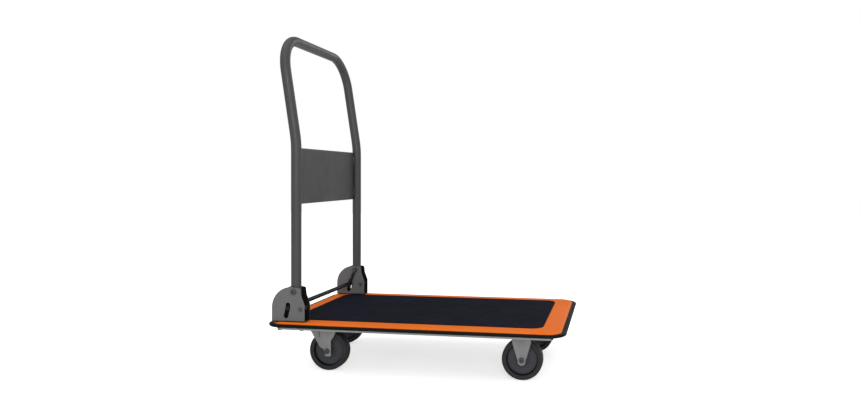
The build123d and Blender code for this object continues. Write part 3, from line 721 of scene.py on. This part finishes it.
def tube_along(name, line, radius, sides):
    """A round wire: at each point of a line, a circle in the plane square to it, with flat end caps."""
    ahead = np.gradient(line, axis=0)
    ahead /= np.linalg.norm(ahead, axis=1)[:, None]
    seed = np.array([0.31, 0.83, 0.46])
    one = np.cross(ahead, seed)
    one /= np.linalg.norm(one, axis=1)[:, None]
    two = np.cross(ahead, one)
    angle = np.linspace(0, 2 * math.pi, sides, endpoint=False)
    ring = radius * (np.cos(angle)[None, :, None] * one[:, None] + np.sin(angle)[None, :, None] * two[:, None])
    points = line[:, None] + ring
    made = mesh_object(name, points, grid_faces(len(line), sides, False, True), 60.0)
    close_ends(made)
    return made


def close_ends(piece):
    """Fills a piece's open holes and turns all its faces outwards."""
    shape = bmesh.new()
    shape.from_mesh(piece.data)
    bmesh.ops.remove_doubles(shape, verts=shape.verts, dist=0.000001)
    bmesh.ops.holes_fill(shape, edges=shape.edges)
    bmesh.ops.recalc_face_normals(shape, faces=shape.faces)
    shape.to_mesh(piece.data)
    shape.free()


# ---- stage --------------------------------------------------------------------------------------
OVERHEAD_WIDTH = math.radians(85.0)
OVERHEAD_TILT = (math.radians(12.0), math.radians(-6.0), 0.0)
SOFT_LIGHT = 0.42
STUDIO_LIGHTS = (   # name, place, target, width, power
    ("key", (0.9, -3.2, 1.3), (-0.05, 0.0, 0.3), 1.3, 37.0),
    ("fill", (3.0, -1.6, 1.2), (0.0, 0.0, 0.2), 1.6, 12.0),
    ("back", (1.2, 3.2, 2.0), (0.0, 0.0, 0.3), 2.0, 16.0),
)


class CART_OT_stage(bpy.types.Operator):
    """Set the floor, the lights and the camera"""

    bl_idname = "cart.stage"
    bl_label = "Stage"

    def execute(self, context):
        stage = context.scene.cart_stage
        lay_floor(stage)
        light_studio(context.scene)
        overhead_light(stage)
        set_camera(context.scene, stage)
        return {"FINISHED"}


def lay_floor(stage):
    """A plain pale floor, one square, whose shadows the camera sees lightened."""
    half = stage.floor_size / 2
    points = np.array([(-half, -half, 0), (half, -half, 0), (half, half, 0), (-half, half, 0)], float)
    floor = mesh_object("floor", points, np.array([[0, 1, 2, 3]]))
    n = Nodes("floor_white")
    tone = stage.floor_tone
    n.set("Base Color", n.mix(n.noise(0.6), (tone, tone, tone), (tone * 0.995,) * 3))
    n.set("Roughness", 0.9)
    n.set("Specular IOR Level", 0.1)
    seen = n.add("ShaderNodeLightPath").outputs["Is Camera Ray"]
    n.set("Emission Color", (1.0, 1.0, 1.0, 1.0))
    n.set("Emission Strength", n.maths("MULTIPLY", seen, stage.floor_glow))
    floor.data.materials.append(n.material)


def area_light(name, place, target, size, power):
    """A round soft light at a place, turned to a target."""
    data = bpy.data.lights.new(name, "AREA")
    data.shape, data.size, data.energy = "DISK", size, power
    lamp = bpy.data.objects.new(name, data)
    bpy.context.scene.collection.objects.link(lamp)
    lamp.location = place
    lamp.rotation_euler = (Vector(target) - lamp.location).to_track_quat("-Z", "Y").to_euler()


def overhead_light(stage):
    """An even light from straight above, wide enough to leave only soft shadows."""
    data = bpy.data.lights.new("overhead", "SUN")
    data.energy, data.angle = stage.overhead, OVERHEAD_WIDTH
    lamp = bpy.data.objects.new("overhead", data)
    bpy.context.scene.collection.objects.link(lamp)
    lamp.location = (0.0, 0.0, 3.0)
    lamp.rotation_euler = OVERHEAD_TILT


def light_studio(scene):
    """A white backdrop that lights softly, and a key, a fill and a back light for the upright faces."""
    world = bpy.data.worlds.new("studio")
    scene.world = world
    world.use_nodes = True
    tree = world.node_tree
    soft = tree.nodes["Background"]
    soft.inputs["Color"].default_value = (1.0, 1.0, 1.0, 1.0)
    soft.inputs["Strength"].default_value = SOFT_LIGHT
    backdrop = tree.nodes.new("ShaderNodeBackground")
    backdrop.inputs["Color"].default_value = (1.0, 1.0, 1.0, 1.0)
    path, blend = tree.nodes.new("ShaderNodeLightPath"), tree.nodes.new("ShaderNodeMixShader")
    tree.links.new(path.outputs["Is Camera Ray"], blend.inputs[0])
    tree.links.new(soft.outputs[0], blend.inputs[1])
    tree.links.new(backdrop.outputs[0], blend.inputs[2])
    tree.links.new(blend.outputs[0], tree.nodes["World Output"].inputs["Surface"])
    for name, place, target, size, power in STUDIO_LIGHTS:
        area_light(name, place, target, size, power)
    scene.view_settings.view_transform = "Standard"


def set_camera(scene, stage):
    """A level camera, turned about the vertical and framed by its lens shift."""
    data = bpy.data.cameras.new("camera")
    data.sensor_width, data.lens = 36.0, stage.lens
    data.shift_x, data.shift_y = stage.shift
    data.clip_start, data.clip_end = 0.05, 60.0
    camera = bpy.data.objects.new("camera", data)
    scene.collection.objects.link(camera)
    camera.location = stage.camera_place
    camera.rotation_euler = (math.pi / 2, 0.0, stage.camera_turn)
    scene.camera = camera


# ---- add-on -------------------------------------------------------------------------------------
OPERATORS = (CART_OT_paint, CART_OT_sheet, CART_OT_mat, CART_OT_wheels, CART_OT_welds, CART_OT_springs, CART_OT_stage)


class CART_PT_sidebar(bpy.types.Panel):
    bl_idname = "CART_PT_sidebar"
    bl_label = "Folding Platform Cart"
    bl_space_type = "VIEW_3D"
    bl_region_type = "UI"
    bl_category = "Cart"

    def draw(self, context):
        for operator in OPERATORS:
            self.layout.operator(operator.bl_idname)
        for name, group in GROUPS:
            box = self.layout.box()
            for key in group.__annotations__:
                box.prop(getattr(context.scene, name), key)


def register():
    for name, group in GROUPS:
        bpy.utils.register_class(group)
        setattr(bpy.types.Scene, name, bpy.props.PointerProperty(type=group))
    for made in (*OPERATORS, CART_PT_sidebar):
        bpy.utils.register_class(made)


def unregister():
    for made in (CART_PT_sidebar, *reversed(OPERATORS)):
        bpy.utils.unregister_class(made)
    for name, group in reversed(GROUPS):
        delattr(bpy.types.Scene, name)
        bpy.utils.unregister_class(group)


def main():
    register()
    for operator in OPERATORS:
        group, name = operator.bl_idname.split(".")
        getattr(getattr(bpy.ops, group), name)()


if __name__ == "__main__":
    main()
